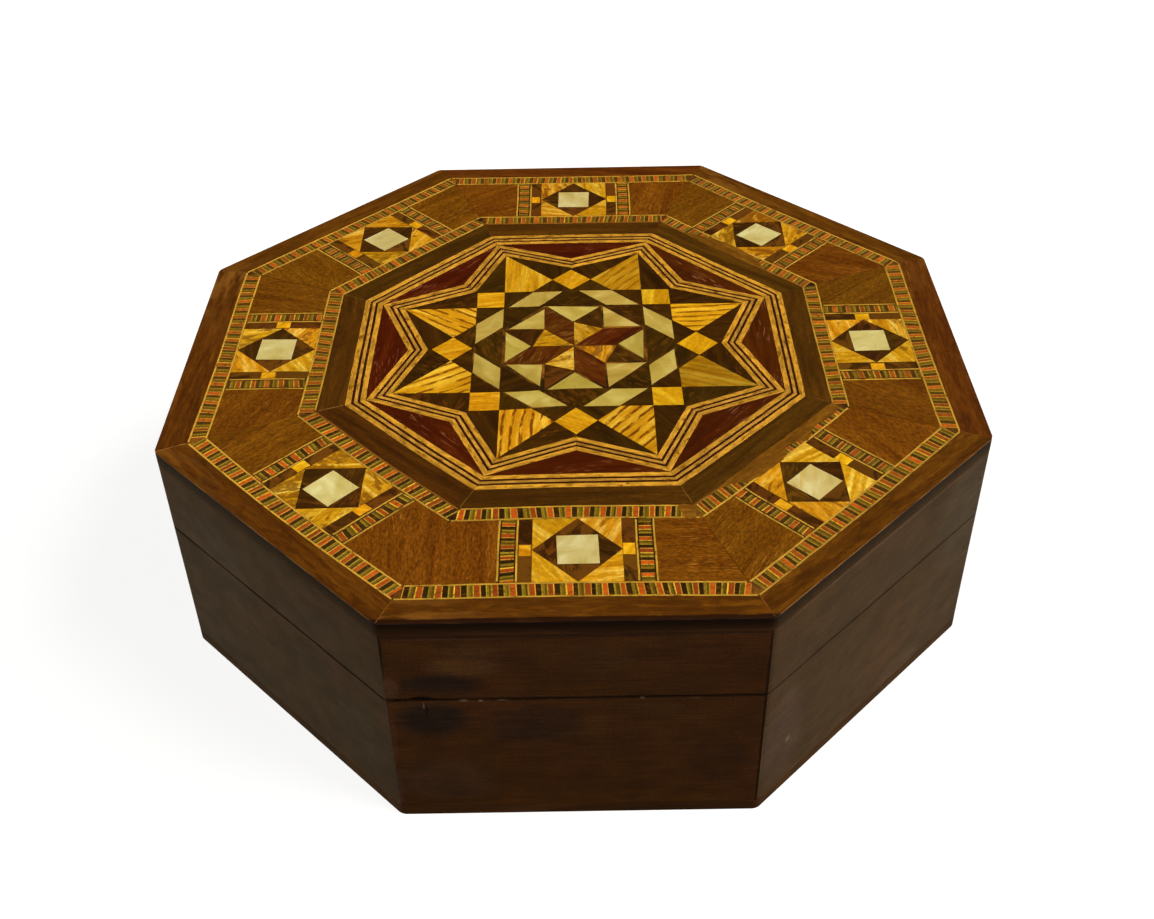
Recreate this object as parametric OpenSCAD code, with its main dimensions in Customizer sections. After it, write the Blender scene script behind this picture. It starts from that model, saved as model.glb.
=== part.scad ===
// Octagonal keepsake box with a hinged lid and a marquetry top.
// +Z is up, the hinge is at the back (+Y), and the origin is the middle of the resting face.

/* [Box] */
// Size across two opposite sides
across_flats = 200; // [190:1:240]
// Height of the closed box
box_height = 63; // [56:0.5:80]
// Height of the lid, from its rim to the top
lid_height = 23.5; // [21:0.5:30]
// Thickness of the side boards
wall = 9; // [8.5:0.5:11]
// Thickness of the top and bottom boards
board = 3; // [2.5:0.1:4]
// Thickness of the veneer on the top
veneer = 0.8; // [0.6:0.1:1]
// Rounding of the upright corners
corner_r = 3; // [1:0.5:4]
// Gap between the rim of the lid and the rim of the base
seam_gap = 0.3; // [0.2:0.05:0.4]

/* [Lining] */
// Thickness of the padded floor and lid panels
pad = 2; // [1.5:0.1:2.5]
// Thickness of the covered cards on the walls
card = 1.5; // [1:0.1:2]
// How far the wall cards stay below the rims
card_step = 1.5; // [1:0.1:3]

/* [Hinges] */
// Length of each hinge
hinge_l = 20; // [18:1:22]
// Distance of each hinge from the middle of the back
hinge_x = 22; // [18:0.5:22]
// Distance of the hinge pin in from the back face
pin_inset = 2.3; // [2.2:0.05:2.6]
// Radius of the hinge knuckles
knuckle_r = 2; // [1.8:0.05:2]
// Radius of the hinge pin
pin_r = 0.9; // [0.8:0.05:1]
// Thickness of the hinge leaves
leaf_t = 0.9; // [0.8:0.05:1]
// How far the leaves reach in from the pin
leaf_d = 5.7; // [5.4:0.1:5.8]
// Opening angle of the lid, set by the bevelled back rims
open_angle = 104; // [95:1:110]

/* [Marquetry, sized for a top of 200 across] */
// Width of the outer border
border_w = 6.7; // [6:0.1:7.5]
// Width of the mosaic bands
band_w = 4.5; // [4:0.1:5]
// Width of the ring of panels between the two mosaic bands
panel_w = 20.4; // [19.5:0.1:21]
// Width of the dark frame around the star
frame_w = 6.6; // [6:0.1:7.5]
// Width of the striped line around the star
line_w = 5; // [4.5:0.1:5.5]
// Width of the striped line that edges the star
star_line_w = 4.9; // [4.4:0.1:5.2]
// Radius of the star's outer notches
notch_r = 43.7; // [43:0.1:44.5]
// Side of the small yellow squares in the star
square_w = 7.5; // [7:0.1:7.6]
// Extra dark wood between the shell pieces in the star
shell_gap = 1.3; // [0.5:0.1:2]
// Half width of the yellow square in each side panel
panel_square = 9.9; // [9.5:0.1:10.2]
// Half side of the shell square in each side panel
shell_square = 4.7; // [4:0.1:4.8]
// Width of the dark strips beside the yellow square
side_strip_w = 3; // [2.5:0.1:3.5]
// Half length of the small blocks in the dark strips
block_half = 2; // [1.5:0.1:2.5]
// Glue line between two pieces of veneer
glue_line = 0.06; // [0.04:0.01:0.1]

/* [Hidden] */
$fn = 48;

sides = 8;
turn = 360 / sides;
t = tan(turn / 2);                      // half the length of a side, per unit of apothem
apothem = across_flats / 2;
inner = apothem - wall;
seam_z = box_height - lid_height;
base_top = seam_z - seam_gap / 2;
lid_rim = seam_z + seam_gap / 2;
veneer_z = box_height - veneer;
board_z = veneer_z - board;
arc_steps = 3;                          // facets on half of each upright corner
soft_gap = 0.1;                         // clearance around the soft pieces
over = 1;                               // how far a cutter passes through a face

// Hinge values
pin_y = apothem - pin_inset;
bevel = (open_angle + 1) / 2;           // a degree is left between the two bevels
knuckle_gap = 0.2;
wood_gap = 0.3;
fixed_fit = 0.02;
turning_fit = 0.05;
head_t = 0.5;
pin_head_r = 1.4;
end_knuckle = hinge_l * 0.27;
base_knuckles = [[-hinge_l / 2, end_knuckle - hinge_l / 2], [hinge_l / 2 - end_knuckle, hinge_l / 2]];
lid_knuckles = [[end_knuckle - hinge_l / 2 + knuckle_gap, hinge_l / 2 - end_knuckle - knuckle_gap]];
screw_x = hinge_l * 0.3;
screw_head_r = 1.3;
screw_head_h = 0.7;
screw_r = 0.6;
screw_l = 6;
screw_y = pin_y - leaf_d + screw_head_r + 0.5;
slot_w = 0.35;
slot_h = 0.3;

// Marquetry values, as distances from the middle of the top
s = across_flats / 200;
border_in = apothem - border_w * s;
panel_out = border_in - band_w * s;
panel_in = panel_out - panel_w * s;
frame_out = panel_in - band_w * s;
line_out = frame_out - frame_w * s;
line_in = line_out - line_w * s;
panel_mid = (panel_out + panel_in) / 2;
panel_half = (panel_out - panel_in) / 2;
square_half = panel_square * s;
shell_half = shell_square * s;
strip_in = square_half + side_strip_w * s;
strip_out = strip_in + band_w * s;
block = block_half * s;

// The star's outer tips reach the corners of the octagonal line
tip = [line_in * t, line_in];
notch = [0, notch_r * s];
edge_dir = (tip - notch) / norm(tip - notch);
edge_out = [-edge_dir.y, edge_dir.x];
tip_dir = tip / norm(tip);
inner_notch = notch - [0, star_line_w * s / edge_dir.x];
inner_tip = tip - tip_dir * star_line_w * s / (edge_out * tip_dir);

// Two crossed square frames, with half sides a inside and b outside
a = inner_tip.x;
b = a + square_w * s;
diamond_mid = (a + b) / sqrt(2);
diamond_half = (b - a) / sqrt(2);
slant_in = a * sqrt(2) + shell_gap * s;
slant_out = b * sqrt(2);
petal = a * (1 - t);

// Half of a rounded upright corner, from the flat of a side to the mitre
function half_corner(ap) = [for (i = [0:arc_steps])
    let (angle = i * turn / 2 / arc_steps)
    (ap - corner_r) * [t, 1] + corner_r * [sin(angle), cos(angle)]];

// The outer face of one side, between its two mitres, counterclockwise
function outer_face(ap) = let (arc = half_corner(ap)) concat(
    [for (i = [arc_steps:-1:0]) arc[i]],
    [for (p = arc) [-p.x, p.y]]);

// One side of an eight sided ring, mitred at both ends, counterclockwise
function rounded_side(out, in) = concat([[-in * t, in], [in * t, in]], outer_face(out));
function plain_side(out, in) = [[-in * t, in], [in * t, in], [out * t, out], [-out * t, out]];

function rectangle(x0, y0, x1, y1) = [[x0, y0], [x1, y0], [x1, y1], [x0, y1]];

function turned(p, angle) = [p.x * cos(angle) - p.y * sin(angle), p.x * sin(angle) + p.y * cos(angle)];

// Moves every edge of a convex counterclockwise outline inwards by the distance d
function edge_normal(p, q) = [p.y - q.y, q.x - p.x] / norm(q - p);
function inset_point(p, q, r, d) =
    let (n1 = edge_normal(p, q), n2 = edge_normal(q, r)) q + (n1 + n2) * d / (1 + n1 * n2);
function inset(points, d) = let (n = len(points))
    [for (i = [0:n - 1]) inset_point(points[(i + n - 1) % n], points[i], points[(i + 1) % n], d)];

// Copies on the sides of the octagon: every one, or every second one
module around(first = 0, step = 1) {
    for (k = [first:step:sides - 1]) rotate(k * turn) children();
}

module both_ways() {
    children();
    mirror([1, 0, 0]) children();
}

// One piece of veneer, with half a glue line off every edge
module tile(points) {
    translate([0, 0, veneer_z]) linear_extrude(veneer) polygon(inset(points, glue_line / 2));
}

// A board over the whole plan of the box, with rounded corners
module full_board(z, thickness) {
    outline = [for (k = [0:sides - 1], i = [1:2 * arc_steps + 1]) turned(outer_face(apothem)[i], k * turn)];
    translate([0, 0, z]) linear_extrude(thickness) polygon(outline);
}

// A padded panel that fits inside the walls
module inside_panel(z) {
    radius = (inner - soft_gap) / cos(turn / 2);
    translate([0, 0, z]) linear_extrude(pad)
        polygon([for (k = [0:sides - 1]) radius * [sin((k + 0.5) * turn), cos((k + 0.5) * turn)]]);
}

module wall_cards(z0, z1) {
    around() translate([0, 0, z0]) linear_extrude(z1 - z0)
        polygon(inset(plain_side(inner, inner - card), soft_gap / 2));
}

// Side k of the box, counted counterclockwise from the back, between two heights
module wall_board(k, z0, z1) {
    rotate(k * turn) translate([0, 0, z0]) linear_extrude(z1 - z0) polygon(rounded_side(apothem, inner));
}

// What the hinges and the bevel take out of the back rims: dir is -1 for the base and 1 for the lid
module rim_bevel(dir) {
    reach = pin_inset + over;
    rotate([90, 0, 90]) linear_extrude(across_flats, center = true) polygon([
        [pin_y, seam_z],
        [pin_y + reach, seam_z + dir * reach * tan(bevel)],
        [pin_y + reach, seam_z - dir * over],
        [pin_y, seam_z - dir * over]]);
}

module along_pin(x0, x1, r) {
    translate([x0, 0, 0]) rotate([0, 90, 0]) cylinder(h = x1 - x0, r = r);
}

module at_hinges() {
    for (x = [-hinge_x, hinge_x]) translate([x, pin_y, seam_z]) children();
}

// A leaf's screw places, with +Z out of the leaf
module at_leaf_screws(dir) {
    for (x = [-screw_x, screw_x])
        translate([x, screw_y - pin_y, dir * seam_gap / 2]) rotate([dir > 0 ? 180 : 0, 0, 0]) children();
}

module hinge_recess(dir) {
    barrel_end = hinge_l / 2 + head_t + wood_gap;
    at_hinges() {
        along_pin(-barrel_end, barrel_end, knuckle_r + wood_gap);
        translate([-hinge_l / 2, -leaf_d, dir > 0 ? -over : -seam_gap / 2 - leaf_t])
            cube([hinge_l, leaf_d, leaf_t + seam_gap / 2 + over]);
        at_leaf_screws(dir) translate([0, 0, -screw_l - turning_fit])
            cylinder(h = screw_l, r = screw_r + turning_fit);
    }
}

module back_wall(k, z0, z1, dir) {
    difference() {
        wall_board(k, z0, z1);
        rim_bevel(dir);
        if (k == 0) hinge_recess(dir);
    }
}

// A leaf with its knuckles, cut back round the other leaf's knuckles
module hinge_leaf(dir, own, other, fit) {
    half = hinge_l / 2;
    difference() {
        union() {
            translate([-half, -leaf_d, dir > 0 ? seam_gap / 2 : -seam_gap / 2 - leaf_t])
                cube([hinge_l, leaf_d, leaf_t]);
            for (k = own) along_pin(k[0], k[1], knuckle_r);
        }
        along_pin(-half - over, half + over, pin_r + fit);
        for (k = other) along_pin(k[0] - knuckle_gap, k[1] + knuckle_gap, knuckle_r + knuckle_gap);
        at_leaf_screws(dir) {
            translate([0, 0, -screw_head_h]) cylinder(h = screw_head_h, r1 = screw_r, r2 = screw_head_r);
            translate([0, 0, -leaf_t - over]) cylinder(h = leaf_t + over, r = screw_r + fixed_fit);
        }
    }
}

module leaf_screws(dir) {
    at_hinges() at_leaf_screws(dir) difference() {
        union() {
            translate([0, 0, -screw_l]) cylinder(h = screw_l - screw_head_h, r = screw_r);
            translate([0, 0, -screw_head_h]) cylinder(h = screw_head_h, r1 = screw_r, r2 = screw_head_r);
        }
        translate([-screw_head_r, -slot_w / 2, -slot_h]) cube([2 * screw_head_r, slot_w, slot_h + over]);
    }
}

// ---- Base ----
module base_floor() { color("#3d2415") full_board(0, board); }
module base_wall(k) { color("#3a2214") wall_board(k, board, base_top); }
module base_back_wall(k) { color("#3a2214") back_wall(k, board, base_top, -1); }
module base_wall_back() { base_back_wall(0); }
module base_wall_back_left() { base_back_wall(1); }
module base_wall_left() { base_wall(2); }
module base_wall_front_left() { base_wall(3); }
module base_wall_front() { base_wall(4); }
module base_wall_front_right() { base_wall(5); }
module base_wall_right() { base_wall(6); }
module base_wall_back_right() { base_back_wall(7); }
module base_floor_pad() { color("#6e1420") inside_panel(board); }
module base_wall_cards() { color("#6e1420") wall_cards(board + pad + soft_gap, base_top - card_step); }

// ---- Hinges ----
module hinge_base_leaves() {
    color("#c9a24a") at_hinges() hinge_leaf(-1, base_knuckles, lid_knuckles, fixed_fit);
}
module hinge_lid_leaves() {
    color("#c9a24a") at_hinges() hinge_leaf(1, lid_knuckles, base_knuckles, turning_fit);
}
module hinge_pins() {
    half = hinge_l / 2;
    color("#b08d3c") at_hinges() {
        along_pin(-half - head_t, half + head_t, pin_r);
        along_pin(-half - head_t, -half, pin_head_r);
        along_pin(half, half + head_t, pin_head_r);
    }
}
module hinge_base_screws() { color("#d2ae58") leaf_screws(-1); }
module hinge_lid_screws() { color("#d2ae58") leaf_screws(1); }

// ---- Lid ----
module lid_board() { color("#4a2c18") full_board(board_z, board); }
module lid_wall(k) { color("#3a2214") wall_board(k, lid_rim, board_z); }
module lid_back_wall(k) { color("#3a2214") back_wall(k, lid_rim, board_z, 1); }
module lid_wall_back() { lid_back_wall(0); }
module lid_wall_back_left() { lid_back_wall(1); }
module lid_wall_left() { lid_wall(2); }
module lid_wall_front_left() { lid_wall(3); }
module lid_wall_front() { lid_wall(4); }
module lid_wall_front_right() { lid_wall(5); }
module lid_wall_right() { lid_wall(6); }
module lid_wall_back_right() { lid_back_wall(7); }
module lid_panel_pad() { color("#6e1420") inside_panel(board_z - pad); }
module lid_wall_cards() { color("#6e1420") wall_cards(lid_rim + card_step, board_z - pad - soft_gap); }

// ---- Border, mosaic bands and side panels ----
module border_veneer() { color("#8a4c18") around() tile(rounded_side(apothem, border_in)); }
module outer_mosaic_band() { color("#b98a3a") around() tile(plain_side(border_in, panel_out)); }
module inner_mosaic_band() { color("#b98a3a") around() tile(plain_side(panel_in, frame_out)); }
module panel_mosaic_strips() {
    color("#b98a3a") around() both_ways() tile(rectangle(strip_in, panel_in, strip_out, panel_out));
}
module field_veneer() {
    color("#8f5a1e") around() both_ways() tile([
        [strip_out, panel_in], [panel_in * t, panel_in], [panel_out * t, panel_out], [strip_out, panel_out]]);
}
module panel_yellow_corners() {
    color("#e0a52e") around() both_ways() {
        tile([[0, panel_out], [square_half, panel_mid], [square_half, panel_out]]);
        tile([[0, panel_in], [square_half, panel_in], [square_half, panel_mid]]);
    }
}
module panel_dark_triangles() {
    p = shell_half;
    m = 1 / (1 / square_half + 1 / panel_half);
    y = panel_mid;
    color("#4a2a10") around() {
        tile([[-p, y + p], [p, y + p], [m, y + m], [0, panel_out], [-m, y + m]]);
        tile([[p, y - p], [-p, y - p], [-m, y - m], [0, panel_in], [m, y - m]]);
        both_ways() tile([[p, y - p], [m, y - m], [square_half, y], [m, y + m], [p, y + p]]);
    }
}
module panel_shell_squares() {
    p = shell_half;
    color("#e6dfb4") around() tile(rectangle(-p, panel_mid - p, p, panel_mid + p));
}
module panel_dark_strips() {
    color("#4a2a10") around() both_ways() {
        tile(rectangle(square_half, panel_in, strip_in, panel_mid - block));
        tile(rectangle(square_half, panel_mid + block, strip_in, panel_out));
    }
}
module panel_yellow_blocks() {
    color("#e0a52e") around() both_ways()
        tile(rectangle(square_half, panel_mid - block, strip_in, panel_mid + block));
}

// ---- Star ----
module star_frame() { color("#573514") around() tile(plain_side(frame_out, line_out)); }
module octagon_line() { color("#c98f3a") around() tile(plain_side(line_out, line_in)); }
module mahogany_triangles() {
    color("#5c1f0c") around() tile([[-tip.x, tip.y], notch, tip]);
}
module star_line() { color("#c98f3a") around() both_ways() tile([inner_notch, inner_tip, tip, notch]); }
module star_flank_triangles() {
    color("#3f260c") around() both_ways()
        tile([inner_notch, [0, slant_out], [diamond_half, diamond_mid], inner_tip]);
}
module star_kites() {
    color("#dba030") around() tile([inner_tip, [diamond_half, diamond_mid], [b * t, b], [a, b]]);
}
module star_yellow_squares() {
    h = diamond_half;
    y = diamond_mid;
    color("#e8ab24") around() tile([[0, y - h], [h, y], [0, y + h], [-h, y]]);
}
module star_small_triangles() {
    color("#3f260c") around() both_ways()
        tile([[0, a * sqrt(2)], [a * sqrt(2) - b, b], [b * t, b], [diamond_half, diamond_mid]]);
}
// The dark pieces between the shell bars: four wide ones, and four narrow ones between them
module star_bar_triangles() {
    color("#3f260c") {
        around(0, 2) tile([[a - slant_in, a], [slant_in - a, a], [slant_in - b, b], [b - slant_in, b]]);
        around(1, 2) tile([[-a * t, a], [a * t, a], [0, a * sqrt(2)]]);
    }
}
module star_shell_bars() {
    color("#e6dfb4") around(0, 2) both_ways()
        tile([[slant_in - a, a], [slant_out - a, a], [slant_out - b, b], [slant_in - b, b]]);
}

// ---- Rosette ----
module rosette_shell_triangles() {
    color("#e6dfb4") around() tile([[-a * t, a], [0, petal], [a * t, a]]);
}
module rosette_red_rhombi() {
    color("#5c1f0c") around(0, 2) tile([[0, 0], [petal, 0], [a, a * t], petal * [1, 1] / sqrt(2)]);
}
module rosette_yellow_triangles() {
    color("#e0a52e") around(1, 2) tile([[0, 0], [petal, 0], petal * [1, 1] / sqrt(2)]);
}
module rosette_brown_triangles() {
    color("#5e3914") around(1, 2) tile([[petal, 0], [a, a * t], petal * [1, 1] / sqrt(2)]);
}

base_floor();
base_wall_back();
base_wall_back_left();
base_wall_left();
base_wall_front_left();
base_wall_front();
base_wall_front_right();
base_wall_right();
base_wall_back_right();
base_floor_pad();
base_wall_cards();
hinge_base_leaves();
hinge_pins();
hinge_base_screws();
lid_board();
lid_wall_back();
lid_wall_back_left();
lid_wall_left();
lid_wall_front_left();
lid_wall_front();
lid_wall_front_right();
lid_wall_right();
lid_wall_back_right();
lid_panel_pad();
lid_wall_cards();
hinge_lid_leaves();
hinge_lid_screws();
border_veneer();
outer_mosaic_band();
inner_mosaic_band();
panel_mosaic_strips();
field_veneer();
panel_yellow_corners();
panel_dark_triangles();
panel_shell_squares();
panel_dark_strips();
panel_yellow_blocks();
star_frame();
octagon_line();
mahogany_triangles();
star_line();
star_flank_triangles();
star_kites();
star_yellow_squares();
star_small_triangles();
star_bar_triangles();
star_shell_bars();
rosette_shell_triangles();
rosette_red_rhombi();
rosette_yellow_triangles();
rosette_brown_triangles();
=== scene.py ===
import math
import random

import bmesh
import bpy
from mathutils import Euler, Matrix, Vector, noise


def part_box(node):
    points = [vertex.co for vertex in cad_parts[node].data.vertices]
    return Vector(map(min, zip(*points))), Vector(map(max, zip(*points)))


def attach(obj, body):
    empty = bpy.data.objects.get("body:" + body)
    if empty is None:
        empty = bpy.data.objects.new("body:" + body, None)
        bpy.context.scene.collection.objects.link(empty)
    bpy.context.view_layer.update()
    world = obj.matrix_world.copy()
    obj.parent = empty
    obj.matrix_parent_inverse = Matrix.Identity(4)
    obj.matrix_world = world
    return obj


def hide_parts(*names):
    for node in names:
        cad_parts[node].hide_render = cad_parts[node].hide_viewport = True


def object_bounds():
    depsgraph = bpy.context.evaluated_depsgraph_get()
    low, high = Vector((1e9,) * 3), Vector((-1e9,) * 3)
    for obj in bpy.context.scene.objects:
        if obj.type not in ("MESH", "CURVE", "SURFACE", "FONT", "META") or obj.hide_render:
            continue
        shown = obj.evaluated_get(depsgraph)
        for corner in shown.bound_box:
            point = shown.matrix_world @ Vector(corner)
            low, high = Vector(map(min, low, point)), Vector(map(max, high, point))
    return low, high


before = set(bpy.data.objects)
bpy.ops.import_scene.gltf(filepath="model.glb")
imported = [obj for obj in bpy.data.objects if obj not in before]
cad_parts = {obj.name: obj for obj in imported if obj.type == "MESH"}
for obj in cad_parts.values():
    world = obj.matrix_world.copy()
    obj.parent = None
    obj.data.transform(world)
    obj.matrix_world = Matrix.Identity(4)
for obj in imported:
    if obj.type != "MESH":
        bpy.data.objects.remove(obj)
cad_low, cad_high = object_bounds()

# Octagonal inlaid box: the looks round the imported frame. Lengths are in metres, angles in radians.
MM = 0.001

# ---- The octagon, measured on the frame ----
SIDES = 8
TURN = math.tau / SIDES
TOP = cad_high.z
APOTHEM = cad_high.y
VENEER_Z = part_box("border_veneer")[0].z
SEAM = (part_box("lid_wall_front")[0].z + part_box("base_wall_front")[1].z) / 2
# Anticlockwise from the back. Every list of eight below goes by side in this order.
SIDE_NAMES = ("back", "back_left", "left", "front_left", "front", "front_right", "right", "back_right")

# How far the inlay lies off its true place, in millimetres: in the ring of panels, round the star, and
# in the middle
PANEL_DRIFT = ((0.9, 0.6), (1.6, 1.6), (1.2, 0.9), (-0.3, -0.3), (0.7, 0.5), (-0.3, -1.0), (-0.9, 0.6),
               (-1.0, 0.6))
STAR_DRIFT = ((0, 0.8), (0.7, 0.3), (0.8, -0.3), (0.9, -0.6), (0.7, 0.2), (0.8, 0.3), (0.5, 0.6), (0.1, 0.7))
MIDDLE_DRIFT = (0.5, 0.5)
STAR_FROM, STAR_TO, PANELS_FROM = 36 * MM, 52 * MM, 74 * MM  # where each of them holds

# ---- Workmanship: how far the hand-made top strays from the drawing ----
WIDE_WANDER, WIDE_WAVE = 0.22 * MM, 30 * MM  # slow wander of every joint line
FINE_WANDER, FINE_WAVE = 0.07 * MM, 6 * MM  # unsteady knife cuts
FINE_LAYER = Vector((0, 0, 7))  # keeps the second wander apart from the first
WANDER_SEED = 1  # noise_vector starts from the clock unless it is given a seed other than 0
noise.seed_set(WANDER_SEED)
FADE = 6 * MM  # both die out over this much of the rim
STEP = 1.6 * MM  # longest straight stretch of an outline
WELD = 0.01 * MM
STRAIGHT = math.radians(0.5)
TILT = 0.0012  # steepest slope of a piece of veneer
RISE = 0.02 * MM  # how unevenly the pieces are sanded
CLEARANCE = 0.01 * MM  # every piece of veneer stays this far under the top
EDGE, RIM_EDGE = 0.05 * MM, 0.22 * MM  # how far top edges are eased: a piece's, the outer rim's
RIM = 0.05 * MM  # a point this close to the outside belongs to the rim
GRID = 0.1 * MM  # places closer than this sort as equal


def octagon_side(p):
    """The side of the box that a point belongs to. A point on a mitre goes to the same side every time."""
    heading = math.atan2(-p.x, p.y)
    return math.floor(heading / TURN + 0.51) % SIDES


def turned(p, angle):
    c, s = math.cos(angle), math.sin(angle)
    return Vector((p.x * c - p.y * s, p.x * s + p.y * c))


def to_side(p, side):
    """A point of the top as seen with that side straight ahead, along +Y."""
    return turned(p, -side * TURN)


def middle(points):
    return sum(points, Vector((0, 0))) / len(points)


def at_height(points, z):
    return [Vector((p.x, p.y, z)) for p in points]


def apothem_of(p):
    return max(to_side(p, side).y for side in range(SIDES))


def outlines(node):
    """The top outline of every solid of a CAD node, anticlockwise, in an order that hangs on place only."""
    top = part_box(node)[1].z
    mesh = bmesh.new()
    mesh.from_mesh(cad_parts[node].data)
    lower = [f for f in mesh.faces if f.normal.z < 0.9 or f.calc_center_median().z < top - WELD]
    bmesh.ops.delete(mesh, geom=lower, context="FACES")
    bmesh.ops.remove_doubles(mesh, verts=mesh.verts, dist=WELD)
    bmesh.ops.dissolve_limit(mesh, angle_limit=STRAIGHT, verts=mesh.verts, edges=mesh.edges)
    found = [[v.co.to_2d() for v in face.verts] for face in mesh.faces]
    mesh.free()

    def place(outline):
        centre = middle(outline)
        side = octagon_side(centre)
        local = to_side(centre, side)
        # the odd offsets keep a piece on an axis away from the limit between two cells of the grid
        return side, round(local.x / GRID + 0.31), round(local.y / GRID + 0.17)

    return sorted(found, key=place)


def cut(node):
    """The outlines of a node, each with its number, its side and random numbers of its own."""
    for index, outline in enumerate(outlines(node)):
        yield index, outline, octagon_side(middle(outline)), random.Random(f"{node} {index}")


def linked(name, data):
    """A new object in the scene."""
    made = bpy.data.objects.new(name, data)
    bpy.context.scene.collection.objects.link(made)
    return made


def smooth(value, low, high):
    part = min(1, max(0, (value - low) / (high - low)))
    return part * part * (3 - 2 * part)


def drift(p):
    """How far the inlay lies off its true place at p."""
    turns = math.atan2(-p.x, p.y) / TURN
    side = math.floor(turns)
    share = smooth(turns, side, side + 1)
    panel, star = (Vector(ring[side % SIDES]).lerp(Vector(ring[(side + 1) % SIDES]), share)
                   for ring in (PANEL_DRIFT, STAR_DRIFT))
    reach = apothem_of(p)
    inner = Vector(MIDDLE_DRIFT).lerp(star, smooth(reach, 0, STAR_FROM))
    return inner.lerp(panel, smooth(reach, STAR_TO, PANELS_FROM)) * MM


def warp(p):
    """Moves a point of the top as the maker's hand did: the same way for all the pieces that meet there."""
    fade = min(1, max(0, (APOTHEM - apothem_of(p)) / FADE))
    wide = noise.noise_vector(Vector((p.x, p.y, 0)) / WIDE_WAVE)
    fine = noise.noise_vector(Vector((p.x, p.y, 0)) / FINE_WAVE + FINE_LAYER)
    return p + fade * (drift(p) + (wide * WIDE_WANDER + fine * FINE_WANDER).to_2d())


def subdivided(points, step=STEP):
    """The closed outline with no stretch longer than step."""
    result = []
    for i, p in enumerate(points):
        q = points[(i + 1) % len(points)]
        parts = max(1, math.ceil((q - p).length / step))
        result += [p.lerp(q, j / parts) for j in range(parts)]
    return result


def inset(points, amounts):
    """The closed anticlockwise outline moved inwards: by one amount, or by one for each of its points."""
    count = len(points)
    if not isinstance(amounts, list):
        amounts = [amounts] * count
    edges = [(points[(i + 1) % count] - p).normalized() for i, p in enumerate(points)]
    normals = [Vector((-e.y, e.x)) for e in edges]
    result = []
    for i, p in enumerate(points):
        a, b = normals[i - 1], normals[i]
        result.append(p + (a + b) * amounts[i] / max(0.1, 1 + a.dot(b)))
    return result


def loosened(points, shrink, slack, rng):
    """A piece cut a little small and laid in its pocket a little crooked, close to one side of it."""
    centre = middle(points)
    shift = turned(Vector((shrink * 0.9, 0)), rng.uniform(0, math.tau))
    angle = rng.uniform(-slack, slack)
    return [centre + turned(p - centre, angle) + shift for p in inset(points, shrink)]


class Pieces:
    """Gathers the closed solids of one object, with what its material reads: where the grain runs, and the
    look, which is the tone, the hue and how stained it is, or a colour of its own."""

    def __init__(self):
        self.points, self.faces, self.grain, self.look = [], [], [], []

    def skin(self, rings, grain=lambda p: p / MM, look=(0.5, 0.5, 0.5)):
        """Joins closed rings of points, from the lowest to the highest, and caps both ends."""
        start, count = len(self.points), len(rings[0])
        for ring in rings:
            self.points += ring
            self.grain += [grain(p) for p in ring]
            self.look += [look] * count
        for level in range(len(rings) - 1):
            low = start + level * count
            for i in range(count):
                j = (i + 1) % count
                self.faces.append((low + i, low + j, low + count + j, low + count + i))
        self.faces.append(tuple(start + i for i in reversed(range(count))))
        self.faces.append(tuple(start + (len(rings) - 1) * count + i for i in range(count)))

    def object(self, name, body, material, nodes=(), rounded=None):
        """Makes the object. rounded is the angle below which its edges are shaded smooth."""
        mesh = bpy.data.meshes.new(name)
        mesh.from_pydata([tuple(p) for p in self.points], [], self.faces)
        grain = mesh.attributes.new("grain", "FLOAT_VECTOR", "POINT")
        grain.data.foreach_set("vector", [c for g in self.grain for c in g])
        look = mesh.attributes.new("look", "FLOAT_COLOR", "POINT")
        look.data.foreach_set("color", [c for v in self.look for c in (*v, 1)])
        mesh.materials.append(material)
        if rounded:
            mesh.shade_smooth()
            mesh.set_sharp_from_angle(angle=rounded)
        made = linked(name, mesh)
        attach(made, body)
        if nodes:
            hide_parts(*nodes)
        return made


def grain_from(centre, angle, rng):
    """Grain coordinates in millimetres: along the fibres, across them, and a depth of each piece's own."""
    offset = Vector((rng.uniform(0, 400), rng.uniform(0, 400), rng.uniform(0, 400)))

    def grain(p):
        flat = turned(Vector((p.x, p.y)) - centre, -angle)
        return flat.x / MM + offset.x, flat.y / MM + offset.y, p.z / MM + offset.z
    return grain


def laid(pieces, outline, rng, grain_angle, look, rise):
    """One flat piece of veneer: warped outline, eased top edge, and a hair of tilt."""
    centre = middle(outline)
    drawn = subdivided(outline)
    fine = [warp(p) for p in drawn]
    at_rim = [max(0, 1 - (APOTHEM - apothem_of(p)) / RIM) for p in drawn]
    eased = [EDGE + share * (RIM_EDGE - EDGE) for share in at_rim]
    tilt = Vector((rng.uniform(-1, 1), rng.uniform(-1, 1))) * TILT
    top = TOP - 1.5 * CLEARANCE - rise

    def ring(into, down):
        """The outline moved inwards and down, by shares of the easing."""
        points = inset(fine, [e * into for e in eased])
        level = [min(TOP - CLEARANCE, top + tilt.dot(p - centre)) for p in points]
        return [Vector((p.x, p.y, z - e * down)) for p, z, e in zip(points, level, eased)]

    rings = [at_height(fine, VENEER_Z), ring(0, 1), ring(0.3, 0.3), ring(1, 0)]
    pieces.skin(rings, grain_from(centre, grain_angle, rng), look)


# ---- Shader kit ----
def srgb(colour):
    """A colour given as 0 to 255 on a screen, as the linear numbers that shaders take."""
    def linear(c):
        c /= 255
        return c / 12.92 if c <= 0.04045 else ((c + 0.055) / 1.055) ** 2.4
    return *(linear(c) for c in colour), 1


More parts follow.
